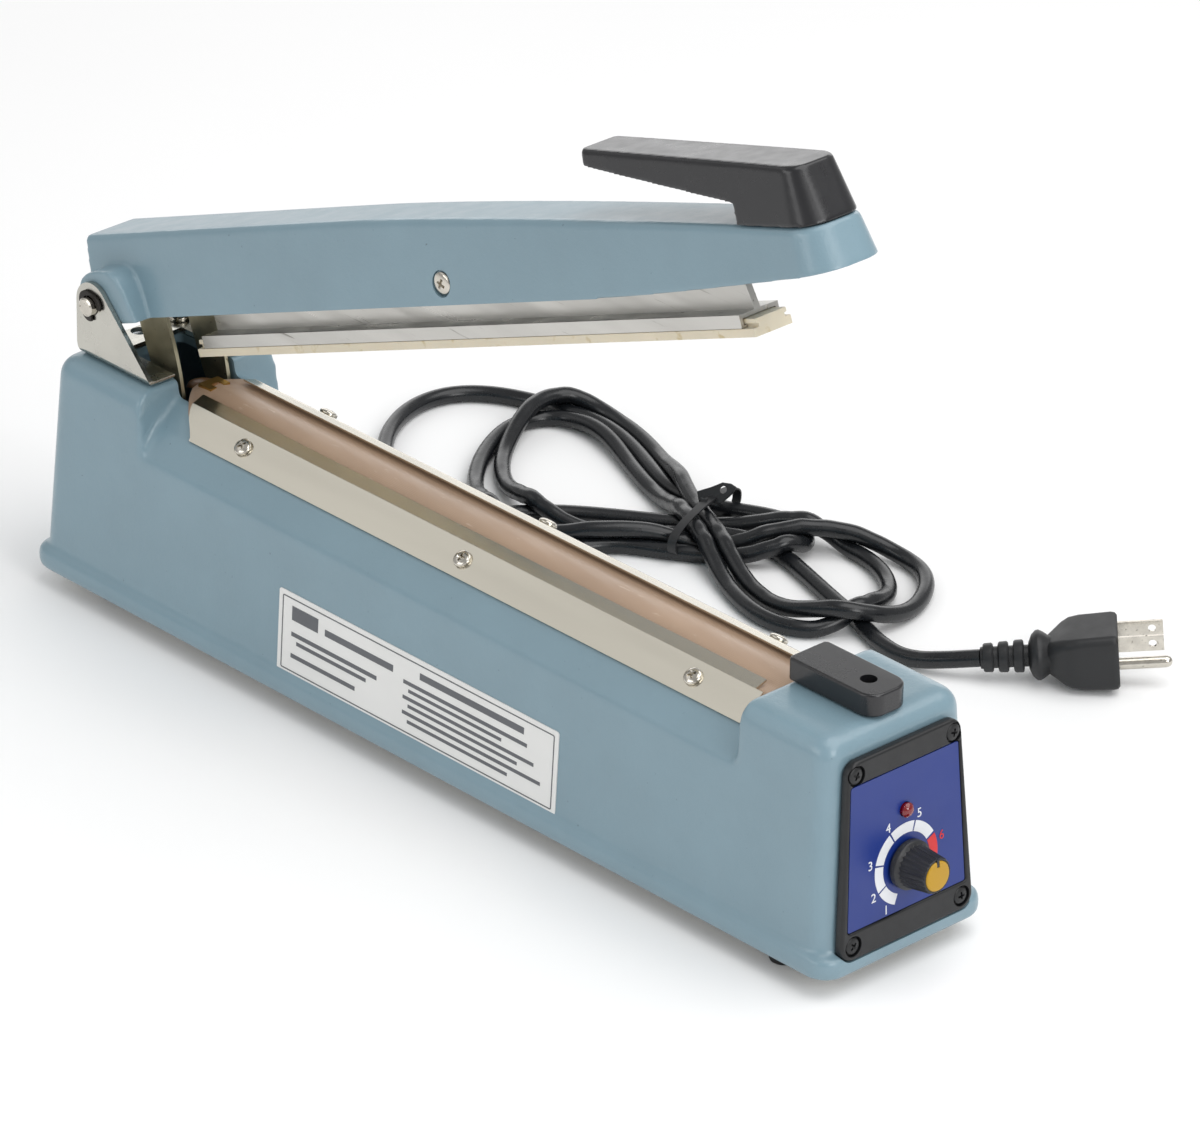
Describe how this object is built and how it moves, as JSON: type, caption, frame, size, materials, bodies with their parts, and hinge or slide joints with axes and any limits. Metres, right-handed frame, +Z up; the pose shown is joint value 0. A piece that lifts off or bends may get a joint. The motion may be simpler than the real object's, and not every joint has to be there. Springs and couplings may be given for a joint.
{
  "type": "impulse heat sealer",
  "caption": "Tabletop impulse heat sealer: cast base with sealing bed and timer dial, hinged pressing arm with black handle, and a mains cord tied in a bundle behind it.",
  "frame": {"origin": "on the tabletop, under the middle of the machine's own box with the arm up; the cord is not counted", "axes": "+X along the machine from the hinge end to the control panel, +Z up, -Y the side with the rating label; the cord lies on the +Y side"},
  "size_m": [0.4789, 0.2791, 0.3047],
  "materials": {
    "paint": "glossy hammered enamel over a sand casting",
    "black_plastic": "moulded, satin to glossy",
    "black_rubber": "matte",
    "cord_rubber": "satin flexible PVC",
    "tie_wire": "plastic-covered wire",
    "plain_steel": "plain zinc-plated sheet",
    "stainless": "bright rolled sheet",
    "zinc": "bright zinc plating",
    "yellow_zinc": "yellow passivated zinc plating",
    "dark_steel": "black oxide",
    "aluminium": "extruded, scuffed",
    "silicone": "translucent cream silicone",
    "ptfe_cloth": "coated glass cloth, waxy sheen",
    "phenolic": "pressed board",
    "brass": "machined",
    "panel_blue": "screen-printed film",
    "lamp_red": "moulded lens",
    "cap_yellow": "moulded",
    "label": null,
    "laminated_steel": "varnished laminations",
    "copper": "enamelled winding",
    "circuit_board": "soldered board"
  },
  "bodies": {
    "base": {"base_plate": "plain_steel", "bezel_screw_bottom_far": "dark_steel", "bezel_screw_bottom_near": "dark_steel", "bezel_screw_top_far": "dark_steel", "bezel_screw_top_near": "dark_steel", "body_casting": "paint", "bracket_bolt_far": "zinc", "bracket_bolt_near": "zinc", "control_bezel": "black_plastic", "control_panel": "panel_blue", "cord_bundle": "cord_rubber", "cord_feed": "cord_rubber", "cord_lead": "cord_rubber", "cord_tie": "tie_wire", "element_bed": "phenolic", "foot_front_far": "black_rubber", "foot_front_near": "black_rubber", "foot_rear_far": "black_rubber", "foot_rear_near": "black_rubber", "heating_ribbon": "stainless", "hinge_bracket": "zinc", "hinge_pin": "zinc", "indicator_lens": "lamp_red", "microswitch_body": "black_plastic", "plug": "cord_rubber", "ptfe_cloth": "ptfe_cloth", "rating_label": "label", "retaining_ring_far": "dark_steel", "retaining_ring_near": "dark_steel", "return_spring": "zinc", "side_plate_far": "stainless", "side_plate_near": "stainless", "side_plate_screw_far_1": "stainless", "side_plate_screw_far_2": "stainless", "side_plate_screw_far_3": "stainless", "side_plate_screw_near_1": "stainless", "side_plate_screw_near_2": "stainless", "side_plate_screw_near_3": "stainless", "strain_relief": "cord_rubber", "terminal_cover": "black_plastic", "terminal_cover_screw": "zinc", "terminal_front": "brass", "timer_board": "circuit_board", "timer_potentiometer": "zinc", "transformer_core": "laminated_steel", "transformer_winding": "copper"},
    "arm": {"arm_casting": "paint", "arm_handle": "black_plastic", "linkage_bracket": "yellow_zinc", "press_bar_screw": "zinc"},
    "pressing_bar": {"press_bar": "aluminium", "silicone_strip": "silicone"},
    "timer_dial": {"timer_knob": "black_plastic", "knob_cap": "cap_yellow", "potentiometer_shaft": "zinc"},
    "switch_lever": {"microswitch_lever": "stainless"},
    "tension_fork": {"terminal_rear": "brass"}
  },
  "joints": [
    {"name": "arm_hinge", "type": "hinge", "parent": "base", "child": "arm", "pos_m": [-0.20923, 0, 0.125], "axis": [0, 1, 0], "range_deg": [0, 21.3], "stiffness_Nm_per_rad": 5, "springref_deg": -34.38, "deforming": ["return_spring", "silicone_strip"]},
    {"name": "press_bar_rock", "type": "hinge", "parent": "arm", "child": "pressing_bar", "pos_m": [-0.01882, 0, 0.19849], "axis": [0, 1, 0], "range_deg": [-0.8, 0.8]},
    {"name": "timer_knob_turn", "type": "hinge", "parent": "base", "child": "timer_dial", "pos_m": [0.21605, 0, 0.04375], "axis": [-0.9981, 0, -0.0617], "range_deg": [-150, 150]},
    {"name": "switch_lever_turn", "type": "hinge", "parent": "base", "child": "switch_lever", "pos_m": [-0.21223, 0.012, 0.061], "axis": [0, 1, 0], "range_deg": [0, 8.05]},
    {"name": "tension_fork_slide", "type": "slide", "parent": "base", "child": "tension_fork", "axis": [1, 0, 0], "range_m": [-0.0012, 0], "stiffness_N_per_m": 500}
  ],
  "couplings": [
    {"joint": "switch_lever_turn", "follows": "arm_hinge", "ratio": 0.3756}
  ]
}
